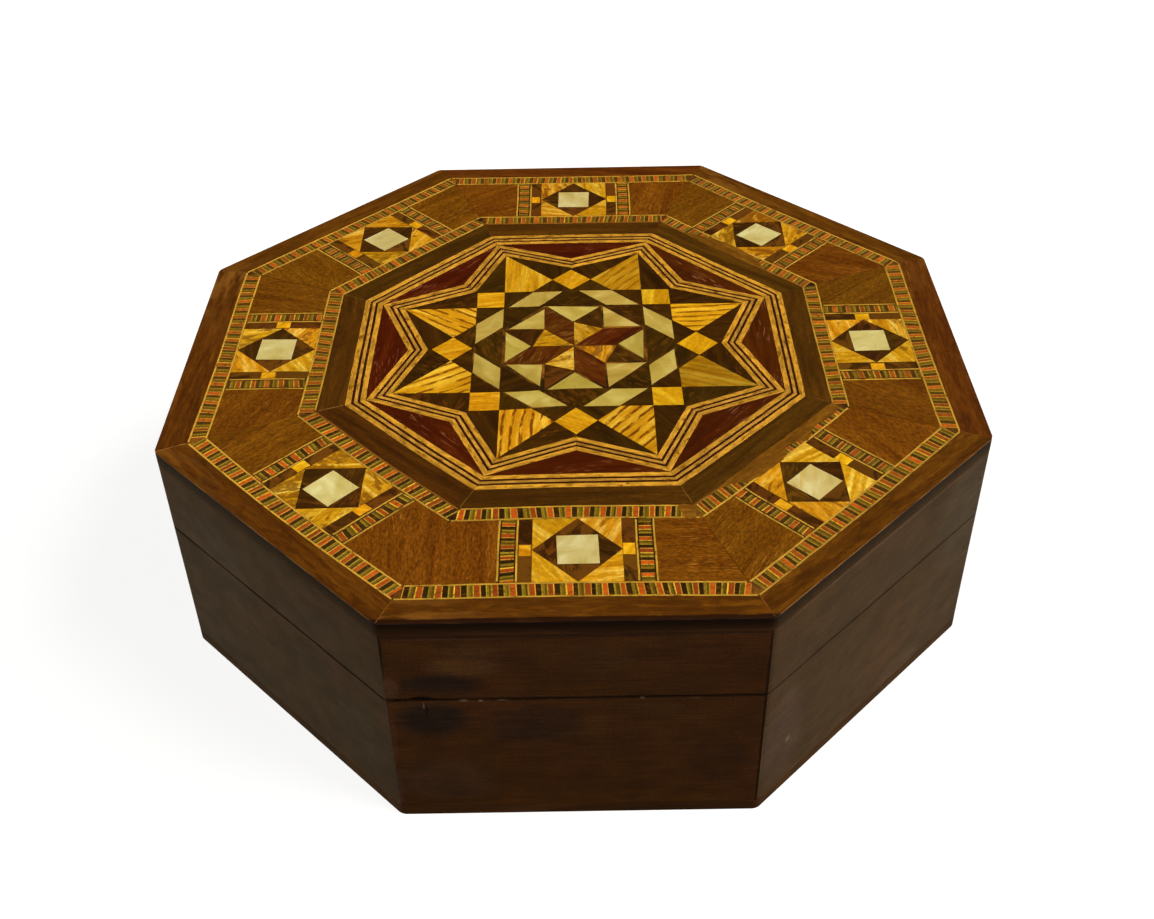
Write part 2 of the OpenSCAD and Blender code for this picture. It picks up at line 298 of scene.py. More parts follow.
class Nodes:
    """A node tree, with one short call for each kind of node. Colours are 0 to 255, as on a screen."""

    def __init__(self, tree):
        self.tree = tree

    def put(self, socket, value):
        if isinstance(value, bpy.types.NodeSocket):
            self.tree.links.new(value, socket)
        else:
            socket.default_value = value

    def node(self, kind, inputs=(), **settings):
        """Makes a node, with what goes into its sockets by name or number, and returns its outputs."""
        made = self.tree.nodes.new("ShaderNode" + kind)
        for name, value in settings.items():
            setattr(made, name, value)
        for socket, value in dict(inputs).items():
            self.put(made.inputs[socket], value)
        return made.outputs

    def split(self, vector):
        return self.node("SeparateXYZ", {0: vector})

    def scaled(self, vector, x, y, z=1.0):
        return self.node("VectorMath", {0: vector, 1: (x, y, z)}, operation="MULTIPLY")[0]

    def moved(self, vector, x, y, z=0.0):
        return self.node("VectorMath", {0: vector, 1: (x, y, z)}, operation="ADD")[0]

    def calc(self, operation, a, b=0.0, clamp=False):
        return self.node("Math", {0: a, 1: b}, operation=operation, use_clamp=clamp)[0]

    def times(self, a, b, clamp=False):
        return self.calc("MULTIPLY", a, b, clamp)

    def plus(self, a, b, clamp=False):
        return self.calc("ADD", a, b, clamp)

    def noise(self, vector, pitch, detail=3.0, roughness=0.5, distortion=0.0):
        """A cloudy pattern round 0.5. pitch is how many waves there are to each unit of the vector."""
        inputs = {"Vector": self.scaled(vector, *pitch), "Scale": 1.0, "Detail": detail}
        inputs |= {"Roughness": roughness, "Distortion": distortion}
        return self.node("TexNoise", inputs)["Fac"]

    def between(self, value, low, high, to_low=0.0, to_high=1.0):
        """A smooth step from to_low, at low, to to_high, at high."""
        inputs = {"Value": value, "From Min": low, "From Max": high, "To Min": to_low, "To Max": to_high}
        return self.node("MapRange", inputs, interpolation_type="SMOOTHSTEP")[0]

    def swing(self, pattern, low, high):
        """A noise pattern spread out to run from low to high."""
        return self.between(pattern, 0.3, 0.7, low, high)

    def ramp(self, factor, *stops, convert=srgb):
        made = self.tree.nodes.new("ShaderNodeValToRGB")
        self.put(made.inputs[0], factor)
        elements = made.color_ramp.elements
        while len(elements) < len(stops):
            elements.new(0.5)
        for element, (position, colour) in zip(elements, stops):
            element.position = position
            element.color = convert(colour)
        return made.outputs[0]

    def mix(self, factor, a, b):
        return self.node("Mix", {0: factor, 6: a, 7: b}, data_type="RGBA")[2]


class Shader(Nodes):
    """A material with one Principled shader, whose constant sockets are given by name. Its colour is built
    up step by step."""

    def __init__(self, name, **constants):
        self.material = bpy.data.materials.new(name)
        self.material.use_nodes = True
        super().__init__(self.material.node_tree)
        self.surface = next(n for n in self.tree.nodes if n.type == "BSDF_PRINCIPLED").inputs
        for socket, value in constants.items():
            self.surface[socket.replace("_", " ")].default_value = value

    def attribute(self, name, output="Vector"):
        return self.node("Attribute", attribute_name=name)[output]

    def place(self):
        return self.node("TexCoord")["Object"]

    def place_mm(self):
        return self.scaled(self.place(), 1000, 1000, 1000)

    def paint(self, cover, paint):
        """Puts paint over the colour, as far as cover says from 0 to 1."""
        self.colour = self.mix(cover, self.colour, srgb(paint))

    def tone(self, value, hue=0.5):
        self.colour = self.node("HueSaturation", {"Color": self.colour, "Value": value, "Hue": hue})[0]

    def shade(self, pattern, low, high):
        """Makes the colour darker and lighter by a noise pattern."""
        self.tone(self.swing(pattern, low, high))

    def finish(self, roughness=None, height=None, relief=0.0):
        """Joins colour and roughness to the surface, and a height as a relief of that many millimetres."""
        self.put(self.surface["Base Color"], self.colour)
        if roughness is not None:
            self.put(self.surface["Roughness"], roughness)
        if height is not None:
            bump = self.node("Bump", {"Strength": 1.0, "Distance": relief * MM, "Height": height})
            self.put(self.surface["Normal"], bump[0])
        return self.material


# ---- Materials ----
LACQUER = {"Specular_IOR_Level": 0.12}
CASE_GLOSS = 0.16
CASE_STAIN = (0.3, (46, 22, 0)), (0.5, (53, 27, 1)), (0.72, (65, 35, 2))
# colour of the painted shade under the edge of the veneer
PAINTED_SHADE_UNDER_VENEER = (22, 9, 1)


def veneer_wood(name, dark, body, light, fibre, mottle, fibre_pitch=(0.35, 5.5), fleck_pitch=(0.5, 1.4),
                smudge=None, pores=None, rim=None):
    """Lacquered wood whose grain follows each piece. A pitch is how many per millimetre, along and across.
    fibre and mottle are depths of shade; smudge, how much its stains cover, their colour and pitch; pores,
    how much the dashes in the grain cover, and their colour; rim, the colour of its dark outer edge, which
    is partly dark edge wood and partly painted shade under the top."""
    s = Shader(name, **LACQUER)
    grain = s.attribute("grain")
    tone, hue, stained = s.split(s.attribute("look"))
    rings = s.noise(grain, (0.03, 0.32), roughness=0.6, distortion=1.2)
    s.colour = s.ramp(rings, (0.3, dark), (0.5, body), (0.72, light))
    fibres = s.noise(grain, fibre_pitch, roughness=0.65)
    flecks = s.noise(grain, fleck_pitch, detail=4, roughness=0.6)
    fibre_shade = s.swing(fibres, 1 - fibre, 1 + fibre * 0.6)
    mottle_shade = s.swing(flecks, 1 - mottle, 1 + mottle * 0.7)
    s.tone(s.times(fibre_shade, mottle_shade))
    if smudge:
        cover, paint, pitch = smudge
        blot = s.noise(grain, pitch, detail=4, roughness=0.6, distortion=0.8)
        limit = s.between(stained, 0, 1, 0.2, -0.06)
        stain = s.between(s.calc("SUBTRACT", blot, limit), 0.42, 0.54, 0, cover)
        s.paint(stain, paint)
    if pores:
        cover, paint = pores
        dashes = s.noise(grain, (0.28, 3.2), detail=1.5, roughness=0.4)
        patches = s.between(s.noise(grain, (0.08, 0.12), detail=1), 0.42, 0.62)
        amount = s.times(s.between(dashes, 0.62, 0.7), s.times(patches, cover))
        s.paint(amount, paint)
    s.tone(s.between(tone, 0, 1, 0.72, 1.28), s.between(hue, 0, 1, 0.493, 0.507))
    if rim:
        _, y, z = s.split(s.place())
        worn = s.noise(grain, (0.12, 0.5), detail=2)
        edge = s.times(s.between(z, TOP - 0.02 * MM, TOP - 0.1 * MM), s.between(worn, 0.4, 0.6))
        s.paint(s.times(edge, 0.45), (176, 116, 46))
        # the outer edge of the veneer, under the top, in the rim colour: dark edge wood and painted shade
        s.paint(s.between(z, TOP - 0.2 * MM, TOP - 0.3 * MM), rim)
        # the same dark, edge wood and painted shade, over a ragged strip along the front edge of the top
        from_front = s.plus(y, s.times(worn, 0.8 * MM))
        spilt = s.between(from_front, 1.9 * MM - APOTHEM, 1.4 * MM - APOTHEM, 0, 0.85)
        s.paint(spilt, rim)
    rough = s.between(fibres, 0.2, 0.8, 0.49, 0.37)
    ripples = s.noise(grain, (0.25, 0.3, 0.3), detail=2)
    height = s.plus(s.times(fibres, 0.35), ripples)
    return s.finish(rough, height, 0.05)


def zebra_wood(name):
    """Yellow wood with straight, ragged, broken dark lines, for the kites of the star."""
    s = Shader(name, **LACQUER)
    grain = s.attribute("grain")
    tone, hue, lined = s.split(s.attribute("look"))
    rings = s.noise(grain, (0.05, 0.4), distortion=0.6)
    s.colour = s.ramp(rings, (0.3, (190, 126, 8)), (0.5, (216, 152, 18)), (0.7, (240, 188, 54)))
    fibres = s.noise(grain, (0.3, 5.0), roughness=0.6)
    flecks = s.noise(grain, (0.7, 2.0), roughness=0.6)
    bends = s.noise(grain, (0.06, 0.1), detail=1)
    ragged = s.noise(grain, (0.9, 0.9), roughness=0.65)
    across = s.plus(s.split(grain)[1], s.times(bends, 2.2))
    across = s.plus(across, s.times(ragged, 0.7))
    wave = s.calc("SINE", s.times(across, 2.6))
    breaks = s.noise(grain, (0.22, 0.8), roughness=0.6)
    line = s.times(s.between(wave, 0.15, 0.95), s.between(breaks, 0.38, 0.54))
    amount = s.times(line, s.between(lined, 0, 1, 0.1, 1.0), clamp=True)
    s.shade(fibres, 0.86, 1.1)
    s.shade(flecks, 0.88, 1.1)
    s.paint(amount, (116, 60, 3))
    s.tone(s.between(tone, 0, 1, 0.5, 1.5), s.between(hue, 0, 1, 0.495, 0.505))
    return s.finish(s.between(fibres, 0.2, 0.8, 0.48, 0.38), fibres, 0.03)


def shell(name, dark, body, light):
    """Mother-of-pearl: pale, faintly streaked and cloudy, with a smoother polish than the wood."""
    s = Shader(name, Coat_Weight=0.1, Coat_Roughness=0.15, Specular_IOR_Level=0.3)
    grain = s.attribute("grain")
    tone, hue, streaked = s.split(s.attribute("look"))
    clouds = s.noise(grain, (0.12, 0.22), distortion=0.6)
    streaks = s.noise(grain, (0.05, 0.7), distortion=0.5)
    s.colour = s.ramp(clouds, (0.3, dark), (0.5, body), (0.7, light))
    streak = s.times(s.between(streaks, 0.56, 0.68), s.between(streaked, 0.55, 1, 0, 0.45))
    s.paint(streak, (196, 160, 50))
    specks = s.between(s.noise(grain, (1.4, 1.4), detail=2), 0.66, 0.74, 0, 0.35)
    s.paint(specks, (150, 130, 60))
    s.tone(s.between(tone, 0, 1, 0.82, 1.18), s.between(hue, 0, 1, 0.494, 0.506))
    return s.finish(s.swing(clouds, 0.32, 0.22), clouds, 0.02)


def dyed_slivers(name, smudge_colour, smudge, blotch=(0.85, 1.1), blotch_pitch=(0.22, 0.9)):
    """Thin slivers whose colour comes with the mesh, with grain, uneven dye and a little spilt filler."""
    s = Shader(name, **LACQUER)
    grain = s.attribute("grain")
    s.colour = s.attribute("look", "Color")
    fibres = s.noise(grain, (0.5, 4.5), roughness=0.6)
    uneven = s.noise(grain, blotch_pitch, roughness=0.6)
    s.tone(s.between(fibres, 0.28, 0.72, 0.8, 1.15))
    s.tone(s.between(uneven, 0.35, 0.65, *blotch))
    spilt = s.noise(grain, (0.35, 0.9), detail=4, roughness=0.6)
    s.paint(s.between(spilt, 0.54, 0.68, 0, smudge), smudge_colour)
    return s.finish(s.between(fibres, 0.2, 0.8, 0.5, 0.38), fibres, 0.03)


def filler(name):
    """The glue and brown filler that shows in every gap between pieces."""
    s = Shader(name, **LACQUER)
    place = s.place_mm()
    patches = s.noise(place, (0.16, 0.16, 0.16))
    s.colour = s.ramp(patches, (0.4, (48, 26, 3)), (0.52, (98, 57, 9)), (0.66, (140, 88, 20)))
    grit = s.noise(place, (2.5, 2.5, 2.5))
    s.shade(grit, 0.7, 1.2)
    return s.finish(s.swing(grit, 0.75, 0.55), grit, 0.05)


# Marks on the sides that show most, as a worn varnish has them, and two that are painted light: painted
# shade under the edge of the veneer on the front, and a painted sheen on the front right. Each is a soft
# patch: its middle along the side and above the floor, its reach both ways in millimetres, its colour and
# how strongly it covers.
SIDE_MARKS = {
    "front": (
        (0, 30, 70, 60, (62, 32, 2), 0.35),
        (-24, 49.5, 9, 3.4, (70, 42, 13), 0.7), (-22, 54, 8, 2.2, (62, 37, 12), 0.55),
        (6, 50, 7, 5, (58, 34, 6), 0.6), (17, 36, 7, 2, (58, 34, 6), 0.5),
        (-30, 12, 13, 8, (56, 36, 22), 0.45), (-9, 31, 11, 7, (36, 22, 14), 0.55),
        (32, 18, 8, 9, (44, 22, 8), 0.5),
        (-29, 44.4, 9.5, 3.4, (33, 22, 15), 0.75), (-32, 33.2, 8.5, 5.8, (31, 21, 15), 0.85),
        (-40.2, 43.2, 2.2, 3.4, (72, 43, 26), 0.65), (-41.2, 27, 1.3, 9, (64, 34, 20), 0.6),
        (-41.2, 9, 1.3, 6, (66, 36, 24), 0.6), (41.3, 30, 0.7, 60, (16, 7, 2), 0.8),
        # the second mark on the next line, 58.9 mm up, is painted shade under the edge of the veneer
        (-41.3, 55, 0.6, 9, (16, 7, 2), 0.7), (0, 58.9, 60, 1.0, (34, 16, 6), 0.6),
        (-25, 58.1, 15, 0.3, (74, 48, 30), 0.35), (28, 58.4, 12, 0.25, (66, 42, 22), 0.35),
        (-33.6, 39.9, 2.6, 0.9, (8, 5, 4), 0.9), (-32.8, 35.6, 0.25, 2.6, (16, 10, 7), 0.7),
        (-33.3, 37.6, 0.22, 1.2, (96, 74, 58), 0.5), (14.2, 39.1, 0.6, 0.35, (96, 78, 58), 0.5),
        (-24.5, 39.1, 1.1, 0.3, (92, 74, 56), 0.6), (-20.8, 39.0, 0.6, 0.3, (104, 84, 64), 0.6),
        (-16, 39.1, 1.4, 0.28, (84, 66, 48), 0.5), (26, 38.9, 1.2, 0.25, (84, 62, 40), 0.4),
    ),
    "front_left": (
        (0, 30, 70, 60, (50, 38, 20), 0.3), (18, 47, 7, 6, (44, 27, 14), 0.4),
        (14, 32, 9, 5, (44, 26, 13), 0.4), (-20, 40, 12, 16, (58, 42, 28), 0.35),
        (0, 58.7, 42, 0.25, (40, 25, 16), 0.4), (30, 20, 9, 14, (48, 38, 22), 0.4),
        (41.2, 30, 0.7, 60, (70, 52, 40), 0.35),
    ),
    "front_right": (
        (0, 30, 70, 60, (62, 43, 22), 0.4), (6, 18, 11, 16, (66, 38, 10), 0.5),
        # the second mark on the next line, a grey haze near the right corner, is a painted sheen
        (-4, 46, 9, 7, (62, 38, 14), 0.35), (34, 44, 11, 18, (66, 56, 44), 0.28),
        (-34, 20, 8, 17, (68, 48, 38), 0.45), (14, 5, 9, 5, (80, 54, 36), 0.4),
        (-15, 60.4, 26, 0.3, (96, 74, 50), 0.3), (0, 58.6, 40, 0.3, (96, 76, 52), 0.3),
        (-22, 2.9, 18, 0.3, (120, 98, 74), 0.5), (38.8, 52, 0.7, 0.55, (18, 8, 4), 0.9),
        (-31.8, 16.6, 0.8, 0.9, (112, 94, 74), 0.5), (-41.3, 14, 0.5, 16, (96, 68, 44), 0.35),
    ),
}


def case_walnut(name, side, marks=(), dirt_and_shade_reach=0.45, gloss=CASE_GLOSS):
    """The dark varnished boards of one side, base and lid alike, with the grain running along it. Marks and
    the dark band in the seam, which is dirt and painted shade, are on the outside only; the band's reach up
    and down from the seam is given in millimetres."""
    s = Shader(name, Specular_IOR_Level=gloss)
    seen = s.scaled(s.place(), -1000, 1000, 1000)
    local = s.node("VectorRotate", {"Vector": seen, "Angle": side * TURN}, rotation_type="Z_AXIS")[0]
    _, out, z = s.split(local)
    board = s.moved(local, 37.0 * side, 0)
    rings = s.noise(board, (0.014, 0.12, 0.12), detail=5, roughness=0.62, distortion=1.0)
    red_blots = s.between(s.noise(board, (0.05, 0.05, 0.06), distortion=0.5), 0.45, 0.7, 0, 0.5)
    s.colour = s.ramp(rings, *CASE_STAIN)
    s.paint(red_blots, (60, 27, 5))
    bare = s.colour
    # Dirt and painted shade: a dark band along the seam between lid and base, where shade falls into the gap
    from_seam = s.calc("ABSOLUTE", s.calc("SUBTRACT", z, SEAM / MM))
    grit = s.noise(board, (0.5, 0.5, 0.5), detail=2)
    from_seam = s.plus(from_seam, s.times(grit, 0.4))
    seam_dirt_and_shade = s.between(from_seam, dirt_and_shade_reach + 0.3, dirt_and_shade_reach, 0, 0.92)
    s.paint(seam_dirt_and_shade, (14, 7, 3))
    ragged = s.times(s.noise(local, (0.25, 0.25, 0.5)), 0.6)
    for place_x, place_z, reach_x, reach_z, tint, cover in marks:
        offset = s.scaled(s.moved(local, -place_x, 0, -place_z), 1 / reach_x, 0, 1 / reach_z)
        far = s.node("VectorMath", {0: offset}, operation="LENGTH")["Value"]
        s.paint(s.between(s.plus(far, ragged), 1.5, 0.85, 0, cover), tint)
    outside = s.between(out, APOTHEM / MM - 1.2, APOTHEM / MM - 0.4)
    s.colour = s.mix(outside, bare, s.colour)
    fibres = s.noise(board, (0.07, 2.0, 2.0), detail=4, roughness=0.7)
    clouds = s.noise(board, (0.11, 0.11, 0.16), roughness=0.6)
    speckle = s.noise(board, (1.8, 1.8, 1.8), detail=2)
    shade = s.times(s.swing(fibres, 0.74, 1.22), s.swing(clouds, 0.88, 1.12))
    shade = s.times(shade, s.swing(speckle, 0.82, 1.18))
    s.tone(shade)
    rough = s.plus(s.swing(clouds, 0.46, 0.38), s.times(seam_dirt_and_shade, 0.5), clamp=True)
    height = s.plus(s.times(fibres, 0.25), clouds)
    return s.finish(rough, height, 0.05)


def flat_board(name):
    """The top and bottom boards, stained like the case, and darkened near the top by painted shade under the
    edge of the veneer.
    """
    s = Shader(name, Specular_IOR_Level=0.1)
    place = s.place_mm()
    rings = s.noise(place, (0.015, 0.16, 0.16), detail=4, distortion=1.2)
    fibres = s.noise(place, (0.12, 3.0, 3.0), roughness=0.6)
    s.colour = s.ramp(rings, *CASE_STAIN)
    s.shade(fibres, 0.84, 1.14)
    height = s.split(s.place())[2]
    # painted shade: darker towards the top, under the edge of the veneer
    s.paint(s.between(height, TOP - 4.6 * MM, TOP - 0.8 * MM, 0, 0.9), PAINTED_SHADE_UNDER_VENEER)
    return s.finish(s.swing(fibres, 0.5, 0.4), fibres, 0.04)


def velvet(name):
    """Short-pile dark red velvet, brushed a little unevenly."""
    s = Shader(name, Specular_IOR_Level=0.15, Sheen_Weight=0.7, Sheen_Roughness=0.35,
               Sheen_Tint=srgb((255, 150, 150)))
    place = s.place_mm()
    nap = s.noise(place, (0.05, 0.05, 0.05), distortion=0.3)
    pile = s.noise(place, (5, 5, 5), detail=2)
    s.colour = s.ramp(nap, (0.3, (88, 9, 19)), (0.5, (100, 12, 24)), (0.7, (114, 16, 29)))
    s.shade(pile, 0.72, 1.2)
    return s.finish(s.swing(nap, 0.95, 0.85), pile, 0.15)


def aged_brass(name, light, dark):
    s = Shader(name, Metallic=1.0)
    place = s.place_mm()
    tarnish = s.noise(place, (0.5, 0.5, 0.5), detail=4, roughness=0.6)
    brushed = s.noise(place, (0.6, 9, 9), detail=2)
    s.colour = s.ramp(tarnish, (0.35, dark), (0.6, light))
    s.shade(brushed, 0.88, 1.08)
    return s.finish(s.between(tarnish, 0.35, 0.65, 0.48, 0.26), brushed, 0.01)


def white_sweep(name, glow):
    """Matt white, with a glow of its own that keeps the shadow faint."""
    s = Shader(name, Roughness=0.9, Specular_IOR_Level=0.0, Emission_Strength=glow)
    uneven = s.noise(s.place(), (3, 3, 3), detail=2)
    s.put(s.surface["Emission Color"], s.ramp(uneven, (0.3, (252, 252, 252)), (0.7, (255, 255, 255))))
    s.colour = srgb((160, 160, 160))
    return s.finish()


# ---- Plain veneers: every piece is one flat solid ----
def any_way(index, rng):
    return rng.uniform(0, math.pi)


def along_side(index, rng):
    return rng.uniform(-0.08, 0.08)


# The way each kite's grain runs, in degrees on the whole top
KITE_GRAIN = (50, 86, 145, 30, 86, 50, 160, 3)


def kite_grain(index, rng):
    return math.radians(KITE_GRAIN[index]) - index * TURN


def by_side(values, side):
    """One value for all the sides, or its own for each of the eight."""
    return values[side] if isinstance(values, tuple) and len(values) == SIDES else values


def veneer(node, material, grain=any_way, tones=0.5, spread=0.18, stains=(0, 1), loose=0, slack=0):
    """Every piece of a node. grain gives its angle from the side's own direction; tones, how light it is,
    give or take spread; stains, the least and most that they show; loose and slack, how ill it fits."""
    pieces = Pieces()
    for index, outline, side, rng in cut(node):
        tone = by_side(tones, side) + rng.uniform(-spread, spread)
        look = (min(1, max(0, tone)), rng.random(), rng.uniform(*by_side(stains, side)))
        angle = side * TURN + grain(index, rng)
        if loose:
            outline = loosened(outline, loose * rng.uniform(0.4, 1.0), slack, rng)
        laid(pieces, outline, rng, angle, look, RISE * rng.random())
    pieces.object(node + "_pieces", "lid", material, [node])


def build_veneers():
    border = veneer_wood("border_veneer", (76, 36, 2), (94, 49, 4), (116, 65, 10), 0.24, 0.22,
                         fleck_pitch=(0.3, 1.2), smudge=(0.5, (60, 26, 2), (0.13, 0.3)), rim=(26, 10, 5))
    field = veneer_wood("field_veneer", (98, 51, 2), (115, 65, 4), (134, 80, 11), 0.34, 0.36,
                        fibre_pitch=(0.8, 3.2), fleck_pitch=(0.9, 1.9), pores=(0.75, (160, 104, 30)))
    walnut = veneer_wood("walnut_veneer", (58, 31, 2), (76, 43, 4), (96, 57, 8), 0.26, 0.16,
                         fleck_pitch=(1, 1))
    dark = veneer_wood("dark_veneer", (42, 22, 1), (56, 32, 1), (72, 45, 3), 0.2, 0.15,
                       smudge=(0.45, (112, 64, 12), (0.3, 0.8)))
    brown = veneer_wood("brown_veneer", (52, 27, 2), (68, 38, 4), (90, 53, 8), 0.3, 0.2,
                        smudge=(0.65, (116, 68, 14), (0.16, 0.34)))
    red = veneer_wood("mahogany_veneer", (60, 18, 0), (75, 26, 0), (90, 37, 1), 0.2, 0.12,
                      pores=(0.8, (150, 92, 60)))
    brown_red = veneer_wood("brown_red_veneer", (62, 22, 1), (82, 33, 2), (102, 50, 6), 0.25, 0.2,
                            smudge=(0.4, (104, 60, 12), (0.13, 0.3)), pores=(0.7, (150, 100, 50)))
    yellow = veneer_wood("yellow_veneer", (186, 122, 6), (216, 152, 12), (238, 184, 40), 0.16, 0.16,
                         fleck_pitch=(0.8, 1.2))
    smudged = veneer_wood("smudged_yellow_veneer", (178, 114, 6), (214, 150, 18), (248, 204, 86), 0.18, 0.22,
                          fleck_pitch=(0.8, 1.2), smudge=(0.85, (128, 76, 8), (0.18, 0.45)))
    pearl = shell("mother_of_pearl", (186, 165, 90), (203, 184, 116), (218, 207, 148))
    golden_pearl = shell("golden_pearl", (172, 143, 56), (189, 160, 72), (208, 184, 98))

    veneer("border_veneer", border, along_side, spread=0.02,
           tones=(0.56, 0.56, 0.4, 0.42, 0.72, 0.56, 0.44, 0.6),
           stains=((0, 0.3), (0, 0.3), (0.2, 0.4), (0.4, 0.7), (0.95, 1), (0.2, 0.5), (0.2, 0.5), (0, 0.3)))
    veneer("field_veneer", field, spread=0.06,
           tones=(0.62, 0.58, 0.42, 0.5, 0.58, 0.56, 0.4, 0.5))
    veneer("star_frame", walnut, along_side, spread=0.04,
           tones=(0.66, 0.46, 0.54, 0.44, 0.54, 0.5, 0.54, 0.6))
    veneer("mahogany_triangles", red, along_side, spread=0.08)
    for node in ("star_flank_triangles", "star_small_triangles", "star_bar_triangles"):
        veneer(node, dark, tones=0.66, stains=(0, 0.5))
    for node, stains in (("panel_dark_triangles", (0, 0.85)), ("panel_dark_strips", (0.4, 1.05))):
        veneer(node, brown, stains=stains, tones=(0.5, 0.5, 0.45, 0.5, 0.46, 0.4, 0.5, 0.5))
    veneer("rosette_brown_triangles", brown, stains=(0.2, 1), loose=0.15 * MM)
    veneer("rosette_red_rhombi", brown_red, loose=0.15 * MM, slack=0.02)
    veneer("panel_yellow_corners", smudged, spread=0.1,
           stains=((0.1, 0.5), (0.1, 0.6), (0.1, 0.6), (0.4, 1), (0, 0.1), (0.05, 0.5), (0.2, 0.6),
                   (0.4, 1)))
    veneer("panel_yellow_blocks", yellow, tones=0.8, loose=0.25 * MM)
    veneer("star_yellow_squares", yellow, spread=0.1)
    veneer("rosette_yellow_triangles", smudged, tones=0.28, stains=(0.1, 0.8),
           loose=0.15 * MM, slack=0.03)
    veneer("star_kites", zebra_wood("zebra_veneer"), kite_grain, spread=0.01,
           tones=(0.34, 0.47, 0.53, 0.54, 0.52, 0.45, 0.14, 0.6),
           stains=((0.5, 0.6), (0.2, 0.3), (0.8, 0.9), (0.8, 1), (0.8, 1), (0.9, 1), (0.3, 0.4), (0.8, 0.9)))
    veneer("panel_shell_squares", pearl, spread=0.02, loose=0.12 * MM, slack=0.03,
           tones=(0.64, 0.5, 0.55, 0.72, 0.55, 0.7, 0.68, 0.6),
           stains=((0, 0.5), (0, 0.5), (0, 0.5), (0.6, 1), (0, 0.4), (0.9, 1), (0.5, 1), (0, 0.8)))
    veneer("star_shell_bars", golden_pearl, spread=0.1, stains=(0, 0.6), loose=0.3 * MM, slack=0.03)
    veneer("rosette_shell_triangles", golden_pearl, tones=0.45, spread=0.12, stains=(0, 0.8),
           loose=0.55 * MM, slack=0.06)


# ---- Mosaic sticks and striped lines: ribbons sliced into slivers ----
class Ribbon:
    """A long piece of the top, with its own axes: s along it from the middle, v from 0 to 1 outwards."""

    def __init__(self, corners):
        pairs = [(corners[i], corners[(i + 1) % 4]) for i in range(4)]
        if (pairs[0][1] - pairs[0][0]).length < (pairs[1][1] - pairs[1][0]).length:
            pairs = pairs[1:] + pairs[:1]
        inner, outer = pairs[0], pairs[2][::-1]
        if inner_first(outer, inner):
            inner, outer = outer[::-1], inner[::-1]
        self.middle = middle(corners)
        self.along = (inner[1] - inner[0] + outer[1] - outer[0]).normalized()
        if self.along.dot(turned(self.middle, math.pi / 2)) < 0:
            self.along = -self.along
            inner, outer = inner[::-1], outer[::-1]
        self.inner, self.outer = inner, outer
        self.angle = math.atan2(self.along.y, self.along.x)

    def ends(self, v):
        """The first and last s at that v: the mitres."""
        return [(self.inner[i].lerp(self.outer[i], v) - self.middle).dot(self.along) for i in (0, 1)]

    def at(self, s, v):
        start, end = (self.inner[i].lerp(self.outer[i], v) for i in (0, 1))
        first, last = self.ends(v)
        return start.lerp(end, (s - first) / (last - first))


def inner_first(a, b):
    """True if the edge a is nearer the middle of the box than the edge b, or, on a spoke, further left."""
    return middle(a).length + middle(a).x * 1e-3 < middle(b).length + middle(b).x * 1e-3


def signed_area(points):
    return sum(p.x * q.y - q.x * p.y for p, q in zip(points, points[1:] + points[:1])) / 2


def strip(pieces, ribbon, s_range, v_range, look, rng, drop=0.0, slant=0.0, tips=None):
    """A sliver between two values of v. slant leans its ends; tips gives other ends for each side of it."""
    (s0, s1), (v0, v1) = s_range, v_range
    low, high = tips or ((s0 - slant / 2, s1 - slant / 2), (s0 + slant / 2, s1 + slant / 2))
    parts = max(1, math.ceil((s1 - s0) / STEP))
    near, far = ([warp(ribbon.at(a + (b - a) * i / parts, v)) for i in range(parts + 1)]
                 for (a, b), v in ((low, v0), (high, v1)))
    outline = near + far[::-1]
    if signed_area(outline) < 0:
        outline.reverse()
    z = TOP - SLIVER_SUNK - drop
    upper = inset(outline, SLIVER_EASE)
    rings = [at_height(outline, VENEER_Z), at_height(outline, z - SLIVER_EASE), at_height(upper, z)]
    pieces.skin(rings, grain_from(ribbon.middle, ribbon.angle, rng), look)


SLIVER_SUNK, SLIVER_EASE = 0.02 * MM, 0.02 * MM
STICK_WIDTH = 4.5 * MM
EDGE_WIDTH = 0.44 * MM  # the pale line along each edge of a stick
DARK_WIDTH = 0.28 * MM  # and the dark one beside it, in the panels' sticks only
GAP = 0.03 * MM  # glue between two slivers
THINNEST = 0.12 * MM
LEAN, LEAN_WAVE = 1.1 * MM, 18 * MM  # how the slivers lean, and over what length that changes
# One repeat of the mosaic, in the order in which it runs anticlockwise: width in millimetres, colour, spread
MOSAIC = (
    (0.95, (178, 76, 18), 0.22), (0.3, (206, 138, 46), 0.15), (1.0, (40, 27, 5), 0.2),
    (0.36, (158, 129, 36), 0.15), (0.42, (124, 97, 14), 0.2), (0.42, (96, 75, 8), 0.2),
    (0.36, (208, 160, 46), 0.2),
)
THIN_DARK = (46, 28, 6)
PALE, GLUED = (198, 150, 50), (146, 92, 26)
# The inner edge of the inner band, by side: pale line or brown glue
INNER_EDGES = (GLUED, PALE, PALE, GLUED, PALE, GLUED, PALE, GLUED)
# How far old brown varnish dulls the slivers, by side
DULL = (0.34, 0.34, 0.3, 0.14, 0.05, 0.22, 0.3, 0.36)
OLD_VARNISH = Vector(srgb((132, 90, 24))[:3])


def varied(colour, spread, rng, dull=0.0):
    shade = 1 + rng.uniform(-spread, spread)
    return tuple(Vector(srgb([min(255, c * shade) for c in colour])[:3]).lerp(OLD_VARNISH, dull))


